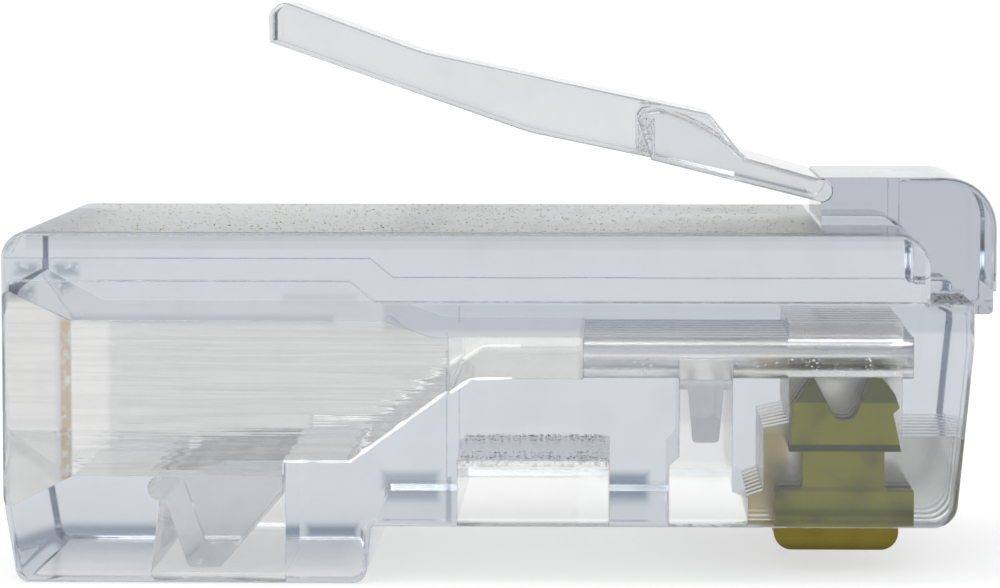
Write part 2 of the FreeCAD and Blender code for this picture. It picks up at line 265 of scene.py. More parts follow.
class PlugDustSettings(bpy.types.PropertyGroup):
    """Specks of dust and swarf that lie on the upward faces."""

    speck_size: FloatProperty(
        name="Speck size",
        description="Width of the largest speck",
        subtype="DISTANCE",
        unit="LENGTH",
        default=0.10 * MM,
    )
    density: FloatProperty(
        name="Specks per square millimetre",
        description="How thickly the specks lie",
        default=2.2,
        min=0.0,
    )
    seed: IntProperty(name="Seed", description="Arrangement of the specks", default=11)
    color: FloatVectorProperty(
        name="Speck colour",
        description="Colour of most specks",
        subtype="COLOR",
        size=3,
        min=0.0,
        max=1.0,
        default=(0.05, 0.035, 0.015),
    )
    film_color: FloatVectorProperty(
        name="Film colour",
        description="Colour of the fine pale dust on the top",
        subtype="COLOR",
        size=3,
        min=0.0,
        max=1.0,
        default=(0.62, 0.60, 0.49),
    )
    film_shade: FloatVectorProperty(
        name="Film shade",
        description="Its darker places",
        subtype="COLOR",
        size=3,
        min=0.0,
        max=1.0,
        default=(0.44, 0.40, 0.27),
    )
    frost_color: FloatVectorProperty(
        name="Frost colour",
        description="Colour of the torn plastic in the wire channels",
        subtype="COLOR",
        size=3,
        min=0.0,
        max=1.0,
        default=(0.95, 0.95, 0.93),
    )
    grain_color: FloatVectorProperty(
        name="Grain colour",
        description="Colour of the darker grains above the pocket",
        subtype="COLOR",
        size=3,
        min=0.0,
        max=1.0,
        default=(0.34, 0.37, 0.34),
    )
    scorch_color: FloatVectorProperty(
        name="Scorch colour",
        description="Colour of its darker places",
        subtype="COLOR",
        size=3,
        min=0.0,
        max=1.0,
        default=(0.30, 0.20, 0.10),
    )


class PlugStageSettings(bpy.types.PropertyGroup):
    """Floor, light and camera."""

    floor_color: FloatVectorProperty(
        name="Floor",
        description="Colour of the floor",
        subtype="COLOR",
        size=3,
        min=0.0,
        max=1.0,
        default=(0.45, 0.45, 0.45),
    )
    floor_glow: FloatProperty(
        name="Floor glow",
        description="Brightness added to the floor as it is seen, so that it shows white",
        default=0.62,
        min=0.0,
    )
    floor_radius: FloatProperty(
        name="Floor radius",
        description="Half the width of the round floor",
        subtype="DISTANCE",
        unit="LENGTH",
        default=6.0,
    )
    azimuth: FloatProperty(
        name="Azimuth",
        description="Camera turned towards the nose",
        subtype="ANGLE",
        default=math.radians(1.64),
    )
    elevation: FloatProperty(
        name="Elevation", description="Camera above the horizon", subtype="ANGLE", default=math.radians(4.41)
    )
    distance: FloatProperty(
        name="Camera distance",
        description="From the plug's near side to the lens",
        subtype="DISTANCE",
        unit="LENGTH",
        default=90 * MM,
    )
    framed_width: FloatProperty(
        name="Framed width",
        description="Width that fills the frame at the plug's near side",
        subtype="DISTANCE",
        unit="LENGTH",
        default=21.98 * MM,
    )
    aim_height: FloatProperty(
        name="Aim height",
        description="Height that the middle of the frame looks at",
        subtype="DISTANCE",
        unit="LENGTH",
        default=6.45 * MM,
    )
    aim_shift: FloatProperty(
        name="Aim shift",
        description="How far along the plug from its middle the frame is centred",
        subtype="DISTANCE",
        unit="LENGTH",
        default=-0.057 * MM,
    )


class PlugSettings(bpy.types.PropertyGroup):
    """All the settings of the plug."""

    plastic: PointerProperty(type=PlugPlasticSettings)
    contacts: PointerProperty(type=PlugContactSettings)
    dust: PointerProperty(type=PlugDustSettings)
    stage: PointerProperty(type=PlugStageSettings)


# ---------------------------------------------------------------- node helpers


def add_node(tree, kind, **inputs):
    """A new node with its inputs set, by name, to values or to another node's output."""
    node = tree.nodes.new(kind)
    for name, value in inputs.items():
        socket = node.inputs[name.replace("_", " ")]
        if isinstance(value, bpy.types.NodeSocket):
            tree.links.new(value, socket)
        else:
            socket.default_value = value
    return node


def math_node(tree, operation, *values, clamp=False):
    """The output of a Math node."""
    node = tree.nodes.new("ShaderNodeMath")
    node.operation = operation
    node.use_clamp = clamp
    for socket, value in zip(node.inputs, values):
        if isinstance(value, bpy.types.NodeSocket):
            tree.links.new(value, socket)
        else:
            socket.default_value = value
    return node.outputs[0]


def vector_node(tree, operation, *values):
    """The vector output of a Vector Math node."""
    node = tree.nodes.new("ShaderNodeVectorMath")
    node.operation = operation
    for socket, value in zip(node.inputs, values):
        if isinstance(value, bpy.types.NodeSocket):
            tree.links.new(value, socket)
        else:
            socket.default_value = value
    return node.outputs["Vector"]


def mix_color(tree, factor, first, second):
    """The output of a colour Mix node."""
    node = tree.nodes.new("ShaderNodeMix")
    node.data_type = "RGBA"
    for socket, value in ((node.inputs[0], factor), (node.inputs[6], first), (node.inputs[7], second)):
        if isinstance(value, bpy.types.NodeSocket):
            tree.links.new(value, socket)
        else:
            socket.default_value = value
    return node.outputs[2]


def ramp(tree, value, low, high):
    """0 below low and 1 above high, with a smooth step between them."""
    node = tree.nodes.new("ShaderNodeMapRange")
    node.interpolation_type = "SMOOTHSTEP"
    tree.links.new(value, node.inputs["Value"])
    node.inputs["From Min"].default_value = low
    node.inputs["From Max"].default_value = high
    return node.outputs["Result"]


def box_mask(tree, position, box):
    """The box's strength inside it, and 0 outside."""
    middle = [(a + b) / 2 for a, b in zip(box.low, box.high)]
    reach = [(b - a) / 2 for a, b in zip(box.low, box.high)]
    offset = vector_node(tree, "SUBTRACT", position, middle)
    outside = vector_node(tree, "SUBTRACT", vector_node(tree, "ABSOLUTE", offset), reach)
    parts = tree.nodes.new("ShaderNodeSeparateXYZ")
    tree.links.new(outside, parts.inputs[0])
    farthest = math_node(tree, "MAXIMUM", parts.outputs["X"], parts.outputs["Y"])
    farthest = math_node(tree, "MAXIMUM", farthest, parts.outputs["Z"])
    mask = ramp(tree, farthest, box.soft, -box.soft)
    if box.strength < 1.0:
        mask = math_node(tree, "MULTIPLY", mask, box.strength)
    return mask


def folded(tree, position):
    """The same place with the plug's far half folded onto its near half: y is never negative."""
    parts = tree.nodes.new("ShaderNodeSeparateXYZ")
    tree.links.new(position, parts.inputs[0])
    depth = math_node(tree, "ABSOLUTE", parts.outputs["Y"])
    whole = add_node(tree, "ShaderNodeCombineXYZ", X=parts.outputs["X"], Y=depth, Z=parts.outputs["Z"])
    return whole.outputs[0]


def add_sockets(group, inputs, outputs):
    """Names a group's sockets. Each input is (name, kind, default)."""
    for name, kind, default in inputs:
        socket = group.interface.new_socket(name=name, in_out="INPUT", socket_type=kind)
        socket.default_value = default
    for name, kind in outputs:
        group.interface.new_socket(name=name, in_out="OUTPUT", socket_type=kind)


def spark_erosion_group():
    """The fine pitted texture that a spark eroded mould leaves."""
    name = "Spark erosion"
    if name in bpy.data.node_groups:
        return bpy.data.node_groups[name]
    group = bpy.data.node_groups.new(name, "ShaderNodeTree")
    add_sockets(
        group,
        [("Mask", "NodeSocketFloat", 1.0), ("Grain", "NodeSocketFloat", 9000.0)],
        [
            ("Height", "NodeSocketFloat"),
            ("Amount", "NodeSocketFloat"),
            ("Grain", "NodeSocketFloat"),
        ],
    )
    source = group.nodes.new("NodeGroupInput")
    result = group.nodes.new("NodeGroupOutput")
    position = group.nodes.new("ShaderNodeTexCoord").outputs["Object"]
    coarse = add_node(
        group, "ShaderNodeTexNoise", Vector=position, Scale=source.outputs["Grain"], Detail=2.0
    )
    height = math_node(group, "MULTIPLY", coarse.outputs["Fac"], 1.6)
    group.links.new(math_node(group, "MULTIPLY", height, source.outputs["Mask"]), result.inputs["Height"])
    spread = math_node(group, "MULTIPLY", coarse.outputs["Fac"], 1.4, clamp=True)
    group.links.new(math_node(group, "MULTIPLY", spread, source.outputs["Mask"]), result.inputs["Amount"])
    grain = ramp(group, coarse.outputs["Fac"], 0.50, 0.62)
    group.links.new(math_node(group, "MULTIPLY", grain, source.outputs["Mask"]), result.inputs["Grain"])
    return group


def draw_line_group():
    """Fine lines along the plug, where the mould's cores are pulled out of it."""
    name = "Draw lines"
    if name in bpy.data.node_groups:
        return bpy.data.node_groups[name]
    group = bpy.data.node_groups.new(name, "ShaderNodeTree")
    add_sockets(
        group,
        [("Mask", "NodeSocketFloat", 1.0), ("Fineness", "NodeSocketFloat", 11000.0)],
        [("Height", "NodeSocketFloat")],
    )
    source = group.nodes.new("NodeGroupInput")
    result = group.nodes.new("NodeGroupOutput")
    position = group.nodes.new("ShaderNodeTexCoord").outputs["Object"]
    stretched = add_node(group, "ShaderNodeMapping", Vector=position, Scale=(0.02, 1.0, 1.0))
    lines = add_node(
        group,
        "ShaderNodeTexNoise",
        Vector=stretched.outputs[0],
        Scale=source.outputs["Fineness"],
        Detail=1.0,
    )
    group.links.new(
        math_node(group, "MULTIPLY", lines.outputs["Fac"], source.outputs["Mask"]), result.inputs["Height"]
    )
    return group


def handling_group():
    """Smears and fine dust from handling, as a mask."""
    name = "Handling film"
    if name in bpy.data.node_groups:
        return bpy.data.node_groups[name]
    group = bpy.data.node_groups.new(name, "ShaderNodeTree")
    add_sockets(
        group,
        [("Scale", "NodeSocketFloat", 500.0), ("Amount", "NodeSocketFloat", 0.5)],
        [("Mask", "NodeSocketFloat")],
    )
    source = group.nodes.new("NodeGroupInput")
    result = group.nodes.new("NodeGroupOutput")
    position = group.nodes.new("ShaderNodeTexCoord").outputs["Object"]
    clouds = add_node(
        group, "ShaderNodeTexNoise", Vector=position, Scale=source.outputs["Scale"], Detail=3.0
    )
    patches = ramp(group, clouds.outputs["Fac"], 0.45, 0.75)
    group.links.new(math_node(group, "MULTIPLY", patches, source.outputs["Amount"]), result.inputs["Mask"])
    return group


def use_group(tree, group, **inputs):
    """Places a node group in a material, with its own values."""
    node = tree.nodes.new("ShaderNodeGroup")
    node.node_tree = group
    for name, value in inputs.items():
        if isinstance(value, bpy.types.NodeSocket):
            tree.links.new(value, node.inputs[name])
        else:
            node.inputs[name].default_value = value
    return node


def seen_ray(tree):
    """1 for camera, glossy and transmission rays, and 0 for the rest."""
    path = tree.nodes.new("ShaderNodeLightPath")
    through = math_node(
        tree, "MAXIMUM", path.outputs["Is Glossy Ray"], path.outputs["Is Transmission Ray"]
    )
    return math_node(tree, "MAXIMUM", path.outputs["Is Camera Ray"], through)


def new_material(name):
    """An empty material and its node tree, with the Principled shader joined to the output."""
    material = bpy.data.materials.new(name)
    material.use_nodes = True
    tree = material.node_tree
    tree.nodes.clear()
    output = tree.nodes.new("ShaderNodeOutputMaterial")
    shader = tree.nodes.new("ShaderNodeBsdfPrincipled")
    tree.links.new(shader.outputs[0], output.inputs["Surface"])
    return material, tree, shader, output


# ---------------------------------------------------------------- finishes


def joined_boxes(tree, position, boxes):
    """The strongest of the boxes at each place, and 0 outside them all."""
    masks = [box_mask(tree, position, box) for box in boxes]
    if not masks:
        return 0.0
    strongest = masks[0]
    for mask in masks[1:]:
        strongest = math_node(tree, "MAXIMUM", strongest, mask)
    return strongest


def plastic_roughness(tree, settings, film, erosion, dust, blades, frost):
    """Roughness of the clear plastic: polish, and what each kind of place adds to it."""
    roughness = math_node(tree, "MULTIPLY_ADD", film, 0.05, settings.roughness)
    for mask, added in (
        (erosion, settings.eroded_roughness),
        (dust, settings.dusty_roughness),
        (blades, settings.worked_roughness),
        (frost, settings.frosted_roughness),
    ):
        roughness = math_node(tree, "MULTIPLY_ADD", mask, added, roughness)
    return roughness


def plastic_color(tree, settings, tint, film, drawn, lines, blades, grain):
    """Tint of the clear plastic's faces before its marks."""
    worn = tuple(0.90 * channel for channel in tint)
    streak = tuple(0.89 * channel for channel in settings.cavity_tint)
    color = mix_color(tree, film, (*tint, 1), (*worn, 1))
    color = mix_color(tree, drawn, color, (*settings.cavity_tint, 1))
    color = mix_color(tree, ramp(tree, lines, 0.46, 0.60), color, (*streak, 1))
    color = mix_color(tree, blades, color, (*BLADE_CLEAR, 1))
    return mix_color(tree, grain, color, (*ERODED_GRAIN, 1))


def clear_plastic(
    name, settings, tint, eroded=(), drawn=(), worked=(), frosted=(), dusty=(), marks=()
):
    """Clear resin. Its eroded, drawn, worked, frosted and dusty boxes hold for both halves."""
    material, tree, shader, output = new_material(name)
    position = tree.nodes.new("ShaderNodeTexCoord").outputs["Object"]
    both = folded(tree, position)
    erosion = use_group(tree, spark_erosion_group(), Mask=joined_boxes(tree, both, eroded))
    drawn_mask = joined_boxes(tree, both, drawn)
    lines = use_group(tree, draw_line_group(), Mask=drawn_mask).outputs["Height"]
    blades = joined_boxes(tree, both, worked)
    film = use_group(tree, handling_group(), Scale=900.0, Amount=0.5).outputs["Mask"]
    roughness = plastic_roughness(
        tree,
        settings,
        film,
        erosion.outputs["Amount"],
        joined_boxes(tree, both, dusty),
        blades,
        joined_boxes(tree, both, frosted),
    )
    tree.links.new(roughness, shader.inputs["Roughness"])
    grain = erosion.outputs["Grain"]
    color = plastic_color(tree, settings, tint, film, drawn_mask, lines, blades, grain)
    cloud = add_node(tree, "ShaderNodeTexNoise", Vector=position, Scale=5200.0, Detail=2.0)
    cloud = ramp(tree, cloud.outputs["Fac"], 0.25, 0.55)
    # Stains, mould lines, painted shade and painted reflections go into the face colour
    for mark in marks:
        mask = joined_boxes(tree, position if mark.one_side else both, mark.boxes)
        if mark.patchy:
            mask = math_node(tree, "MULTIPLY", mask, cloud)
        color = mix_color(tree, mask, color, (*mark.color, 1))
    tree.links.new(color, shader.inputs["Base Color"])
    flow = add_node(tree, "ShaderNodeTexNoise", Vector=position, Scale=420.0, Detail=1.0)
    height = math_node(tree, "MULTIPLY", lines, 0.35)
    height = math_node(tree, "ADD", height, erosion.outputs["Height"])
    smooth = math_node(tree, "MULTIPLY_ADD", blades, -0.25, 0.25)
    height = math_node(tree, "MULTIPLY_ADD", flow.outputs["Fac"], smooth, height)
    rounding = add_node(tree, "ShaderNodeBevel", Radius=settings.edge_rounding)
    bump = add_node(
        tree,
        "ShaderNodeBump",
        Height=height,
        Normal=rounding.outputs[0],
        Strength=0.6,
        Distance=settings.texture_depth,
    )
    tree.links.new(bump.outputs[0], shader.inputs["Normal"])
    shader.inputs["IOR"].default_value = settings.refraction
    shader.inputs["Transmission Weight"].default_value = 1.0
    depth = tree.nodes.new("ShaderNodeVolumeAbsorption")
    depth.inputs["Color"].default_value = (*settings.absorption_color, 1)
    depth.inputs["Density"].default_value = settings.absorption_density
    tree.links.new(depth.outputs[0], output.inputs["Volume"])
    return material


def contact_plating(name, settings, shade):
    """Gold over nickel, duller in patches and brushed along the stamping, with painted shade in bands across
    it and at the bottom of its foot.
    """
    material, tree, shader, _ = new_material(name)
    position = tree.nodes.new("ShaderNodeTexCoord").outputs["Object"]
    film = use_group(tree, handling_group(), Scale=1300.0 + 170.0 * shade, Amount=0.85)
    lines = use_group(tree, draw_line_group(), Mask=1.0, Fineness=14000.0)
    color = mix_color(
        tree, film.outputs["Mask"], (*settings.plating_color, 1), (*settings.tarnish_color, 1)
    )
    height = tree.nodes.new("ShaderNodeSeparateXYZ")
    tree.links.new(position, height.inputs[0])
    height = height.outputs["Z"]
    foot = ramp(tree, height, 1.32 * MM, 1.22 * MM)
    color = mix_color(tree, foot, color, (*settings.foot_color, 1))
    # Painted shade, darker towards the bottom of the foot
    under_foot_shade = math_node(tree, "MULTIPLY", ramp(tree, height, 0.75 * MM, 0.50 * MM), 0.5)
    color = mix_color(tree, under_foot_shade, color, (*settings.band_shade_color, 1))
    # Painted shade in bands across the contact
    for low, high, strength in CONTACT_SHADE_BANDS:
        over = ramp(tree, height, (low - 0.04) * MM, low * MM)
        under = ramp(tree, height, (high + 0.04) * MM, high * MM)
        band = math_node(tree, "MULTIPLY", math_node(tree, "MULTIPLY", over, under), strength)
        color = mix_color(tree, band, color, (*settings.band_shade_color, 1))
    tree.links.new(color, shader.inputs["Base Color"])
    shader.inputs["Metallic"].default_value = 1.0
    tree.links.new(
        math_node(tree, "MULTIPLY_ADD", film.outputs["Mask"], 0.2, settings.roughness),
        shader.inputs["Roughness"],
    )
    grain = add_node(tree, "ShaderNodeTexNoise", Vector=position, Scale=16000.0, Detail=4.0)
    relief = math_node(tree, "ADD", grain.outputs["Fac"], lines.outputs["Height"])
    rounding = add_node(tree, "ShaderNodeBevel", Radius=0.03 * MM)
    bump = add_node(
        tree,
        "ShaderNodeBump",
        Height=relief,
        Normal=rounding.outputs[0],
        Strength=0.35,
        Distance=0.01 * MM,
    )
    tree.links.new(bump.outputs[0], shader.inputs["Normal"])
    return material


def dust_finish(name, color, warm, glint=False, glow=0.0):
    """Matt specks that vary between two colours. Torn plastic glints as metal, and glow adds emission as a
    painted highlight.
    """
    material, tree, shader, _ = new_material(name)
    position = tree.nodes.new("ShaderNodeTexCoord").outputs["Object"]
    mottle = add_node(tree, "ShaderNodeTexNoise", Vector=position, Scale=2500.0, Detail=1.0)
    blend = ramp(tree, mottle.outputs["Fac"], 0.4, 0.62)
    tree.links.new(mix_color(tree, blend, (*color, 1), (*warm, 1)), shader.inputs["Base Color"])
    shader.inputs["Roughness"].default_value = 0.2 if glint else 0.8
    shader.inputs["Metallic"].default_value = 1.0 if glint else 0.0
    # Painted highlight: emission in the specks' own colour
    shader.inputs["Emission Color"].default_value = (*color, 1)
    shader.inputs["Emission Strength"].default_value = glow
    return material


def paint(node, material):
    """Gives a CAD node one material."""
    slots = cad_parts[node].data.materials
    slots.clear()
    slots.append(material)


def back(distance):
    """X in metres of a place this many millimetres behind the front face."""
    nose_reach = 0.72
    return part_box("housing")[1][0] - (nose_reach + distance) * MM


def place(rear, front, bottom, top, reach, soft=0.05, strength=1.0):
    """A box across the whole plug, in mm: behind the front face, up, and out to each side."""
    low = (back(rear), -HALF_WIDTH, bottom * MM)
    high = (back(front), reach * MM, top * MM)
    return Box(low, high, soft * MM, strength)


def on_side(rear, front, bottom, top, soft, strength, near=False):
    """The same for a patch of the far side's face, or of the near one's."""
    inner, outer = HALF_WIDTH - 0.4 * MM, HALF_WIDTH + 0.4 * MM
    if near:
        inner, outer = -outer, -inner
    low = (back(rear), inner, bottom * MM)
    high = (back(front), outer, top * MM)
    return Box(low, high, soft * MM, strength)


def plastic_marks():
    """Stains, mould lines, painted shade and painted reflections of the housing."""
    half = HALF_WIDTH / MM
    # Painted shade: dark smudges along the far bottom edge, where darker surroundings show through the
    # plastic
    far_edge_shade = [
        on_side(13.45, 12.1, 1.22, 1.62, 0.13, 0.8),
        on_side(8.35, 7.1, 1.22, 1.62, 0.13, 1.0),
        on_side(21.2, 18.6, 0.04, 0.34, 0.13, 0.9),
        on_side(15.25, 14.05, 0.04, 0.34, 0.12, 1.0),
    ]
    # The witness line and the parting lines, and a patch of painted shade at the rear top corner
    mould_lines_and_shade = [
        on_side(11.62, 11.585, 1.4, 5.6, 0.012, 0.5),
        on_side(11.62, 11.50, 1.4, 2.4, 0.04, 0.7),
        # Painted shade at the rear top corner
        on_side(21.3, 20.7, 6.30, 6.60, 0.12, 0.8),
        on_side(13.18, 0.97, 6.255, 6.285, 0.015, 0.6),
        on_side(19.3, 13.73, 6.705, 6.735, 0.015, 0.6),
    ]
    # Painted shade on the near side: under the top edge, along the cavity's upper edge, a streak, and low on
    # the rear block
    near_side_shade = [
        on_side(13.0, 0.0, 5.62, 6.23, 0.08, 0.34, near=True),
        on_side(20.9, 1.6, 7.42, 7.72, 0.05, 0.20, near=True),
        on_side(20.9, 1.6, 7.60, 7.76, 0.04, 0.40, near=True),
        on_side(19.9, 14.1, 5.80, 5.96, 0.12, 0.45, near=True),
        on_side(15.2, 13.6, 6.30, 6.42, 0.14, 0.35, near=True),
        on_side(21.0, 13.7, 0.30, 1.20, 0.30, 0.24, near=True),
    ]
    strip_low = (back(20.24), -4.7 * MM, 2.2 * MM)
    strip_high = (back(20.02), -4.3 * MM, 5.8 * MM)
    strip = Box(strip_low, strip_high, 0.05 * MM, 1.0)
    # Painted shade over the nose
    nose = place(3.3, -0.9, 5.7, 9.1, 3.2, 0.1, 0.9)
    # Painted shade in the recess behind the contacts
    recess = place(6.7, 5.2, 2.6, 4.35, 4.4, 0.08)
    # Painted reflection of the gold contacts, on the slot walls at their rear end
    slot_rear_reflection = place(5.1, 4.0, 1.2, 3.2, COMB_REACH, 0.1, 0.8)
    # Painted shade in the slots near the front
    slot_front_shade = place(1.5, 0.2, 1.2, 3.2, COMB_REACH, 0.1, 0.5)
    # Painted reflection of the gold contacts near their tips
    tips = place(4.75, 4.02, 3.7, 4.7, COMB_REACH, 0.12, 0.9)
    top = place(20.6, 3.4, 7.74, 7.9, half, 0.3, 0.9)
    return [
        Mark(SHADE_AND_MOULD_LINES, False, True, far_edge_shade),
        Mark(SHADE_AND_MOULD_LINES, True, False, mould_lines_and_shade),
        Mark(SHADE_AND_MOULD_LINES, False, True, near_side_shade),
        Mark(RUST, True, True, [strip]),
        Mark(NOSE_SHADE, False, False, [nose]),
        Mark(RECESS_SHADE, False, False, [recess]),
        Mark(SLOT_GOLD_REFLECTION, False, False, [slot_rear_reflection]),
        Mark(SLOT_SHADE, False, False, [slot_front_shade]),
        Mark(TIP_GOLD_REFLECTION, True, False, [tips]),
        Mark(TOP_DUST, False, False, [top]),
    ]


# ---------------------------------------------------------------- dust


def speck_tree(material):
    """Geometry Nodes that strew flattened specks over a surface."""
    tree = bpy.data.node_groups.new("Strew specks", "GeometryNodeTree")
    face = tree.interface
    face.new_socket(name="Geometry", in_out="INPUT", socket_type="NodeSocketGeometry")
    face.new_socket(name="Density", in_out="INPUT", socket_type="NodeSocketFloat")
    face.new_socket(name="Speck size", in_out="INPUT", socket_type="NodeSocketFloat")
    face.new_socket(name="Seed", in_out="INPUT", socket_type="NodeSocketInt")
    face.new_socket(name="Geometry", in_out="OUTPUT", socket_type="NodeSocketGeometry")
    source = tree.nodes.new("NodeGroupInput")
    result = tree.nodes.new("NodeGroupOutput")
    points = add_node(
        tree,
        "GeometryNodeDistributePointsOnFaces",
        Mesh=source.outputs["Geometry"],
        Density=source.outputs["Density"],
        Seed=source.outputs["Seed"],
    )
    ball = add_node(tree, "GeometryNodeMeshIcoSphere", Radius=0.5, Subdivisions=1)
    size = tree.nodes.new("FunctionNodeRandomValue")
    size.data_type = "FLOAT_VECTOR"
    size.inputs["Min"].default_value = (0.12, 0.12, 0.10)
    size.inputs["Max"].default_value = (1.0, 0.7, 0.35)
    tree.links.new(source.outputs["Seed"], size.inputs["Seed"])
    scale = tree.nodes.new("ShaderNodeVectorMath")
    scale.operation = "SCALE"
    tree.links.new(size.outputs["Value"], scale.inputs[0])
    tree.links.new(source.outputs["Speck size"], scale.inputs["Scale"])
    turn = tree.nodes.new("FunctionNodeRandomValue")
    turn.data_type = "FLOAT_VECTOR"
    turn.inputs["Min"].default_value = (-0.3, -0.3, 0.0)
    turn.inputs["Max"].default_value = (0.3, 0.3, 2 * math.pi)
    tree.links.new(source.outputs["Seed"], turn.inputs["Seed"])
    spin = add_node(tree, "FunctionNodeEulerToRotation", Euler=turn.outputs["Value"])
    lie = tree.nodes.new("FunctionNodeRotateRotation")
    lie.rotation_space = "LOCAL"
    tree.links.new(points.outputs["Rotation"], lie.inputs["Rotation"])
    tree.links.new(spin.outputs["Rotation"], lie.inputs["Rotate By"])
    specks = add_node(
        tree,
        "GeometryNodeInstanceOnPoints",
        Points=points.outputs["Points"],
        Instance=ball.outputs["Mesh"],
        Rotation=lie.outputs["Rotation"],
        Scale=scale.outputs[0],
    )
    realized = add_node(tree, "GeometryNodeRealizeInstances", Geometry=specks.outputs["Instances"])
    finish = add_node(tree, "GeometryNodeSetMaterial", Geometry=realized.outputs["Geometry"])
    finish.inputs["Material"].default_value = material
    tree.links.new(finish.outputs["Geometry"], result.inputs["Geometry"])
    return tree


def level(low_x, low_y, high_x, high_y, z):
    """The corners of a level patch."""
    return [(low_x, low_y, z), (high_x, low_y, z), (high_x, high_y, z), (low_x, high_y, z)]


def strewn(name, patches, size, tree, density, seed):
    """A plain mesh of specks over flat patches, this many to the square millimetre."""
    base = bmesh.new()
    for corners in patches:
        base.faces.new([base.verts.new(corner) for corner in corners])
    mesh = bpy.data.meshes.new(name + "_patch")
    base.to_mesh(mesh)
    base.free()
    source = bpy.data.objects.new(name + "_patch", mesh)
    bpy.context.collection.objects.link(source)
    modifier = source.modifiers.new("Specks", "NODES")
    modifier.node_group = tree
    values = {"Density": density * 1e6, "Speck size": size, "Seed": seed}
    for item in tree.interface.items_tree:
        if item.in_out == "INPUT" and item.name in values:
            modifier[item.identifier] = values[item.name]
    graph = bpy.context.evaluated_depsgraph_get()
    plain = bpy.data.meshes.new_from_object(source.evaluated_get(graph))
    piece = bpy.data.objects.new(name, plain)
    bpy.context.collection.objects.link(piece)
    source.modifiers.remove(modifier)
    bpy.data.objects.remove(source)
    if not plain.polygons:
        raise RuntimeError(f"{name} has no specks")
    return piece


def bead(name, lines, radius, material):
    """Thin uneven lines of square section along lists of points, as one piece."""
    shape = bmesh.new()
    for line in lines:
        rings = []
        for step, point in enumerate(line):
            width = radius * (0.75 + 0.35 * math.sin(2.6 * step) * math.cos(1.1 * step))
            corners = ((-width, -width), (width, -width), (width, width), (-width, width))
            x, y, z = point
            rings.append([shape.verts.new((x + dx, y + dx, z + dz)) for dx, dz in corners])
        for first, second in zip(rings, rings[1:]):
            for i in range(4):
                j = (i + 1) % 4
                shape.faces.new((first[i], first[j], second[j], second[i]))
        shape.faces.new(reversed(rings[0]))
        shape.faces.new(rings[-1])
    bmesh.ops.recalc_face_normals(shape, faces=shape.faces)
    mesh = bpy.data.meshes.new(name)
    shape.to_mesh(mesh)
    shape.free()
    mesh.materials.append(material)
    piece = bpy.data.objects.new(name, mesh)
    bpy.context.collection.objects.link(piece)
    return piece


def spaced(corners, y, step=0.2 * MM):
    """Points at even steps along a path of (back in mm, height in mm) corners at one y."""
    points = []
    for (start_back, start_z), (end_back, end_z) in zip(corners, corners[1:]):
        start = Vector((back(start_back), y, start_z * MM))
        end = Vector((back(end_back), y, end_z * MM))
        count = max(1, round((end - start).length / step))
        points += [start.lerp(end, i / count) for i in range(count)]
    return points + [end]


# ---------------------------------------------------------------- operators


class PLUG_OT_clear_mouldings(bpy.types.Operator):
    """Finish the housing, latch and crimp bars as clear plastic"""

    bl_idname = "plug.clear_mouldings"
    bl_label = "Clear mouldings"

    def execute(self, context):
        settings = context.scene.plug.plastic
        half = HALF_WIDTH / MM
        tint = tuple(settings.surface_tint)
        eroded = [place(11.5, 7.9, 2.50, 2.75, COMB_REACH), place(0.95, 0.05, 6.20, 6.32, half)]
        cavity_wall = Box(
            (back(20.6), 4.35 * MM, 2.2 * MM), (back(8.7), 4.65 * MM, 5.9 * MM), 0.05 * MM, 1.0
        )
        housing = clear_plastic(
            "housing_plastic",
            settings,
            tint,
            eroded=eroded,
            drawn=[cavity_wall],
            worked=[place(8.7, 0.3, 1.2, 5.75, 4.2)],
            frosted=[place(8.7, 1.2, 4.40, 5.50, 4.2)],
            dusty=[place(21.3, 3.3, 7.74, 7.90, half)],
            marks=plastic_marks(),
        )
        paint("housing", housing)
        shoulder = [place(7.40, 7.05, 9.2, 10.2, 3.0)]
        latch_tint = tuple(settings.latch_tint)
        paint("latch", clear_plastic("latch_plastic", settings, latch_tint, eroded=shoulder))
        for bar in ("jacket_bar", "wire_bar"):
            paint(bar, clear_plastic(f"{bar}_plastic", settings, tint))
        return {"FINISHED"}


class PLUG_OT_contacts(bpy.types.Operator):
    """Plate the contacts, each a little different from the next"""

    bl_idname = "plug.contacts"
    bl_label = "Contacts"

    def execute(self, context):
        settings = context.scene.plug.contacts
        for number, node in enumerate(CONTACTS):
            paint(node, contact_plating(f"{node}_plating", settings, number))
        return {"FINISHED"}


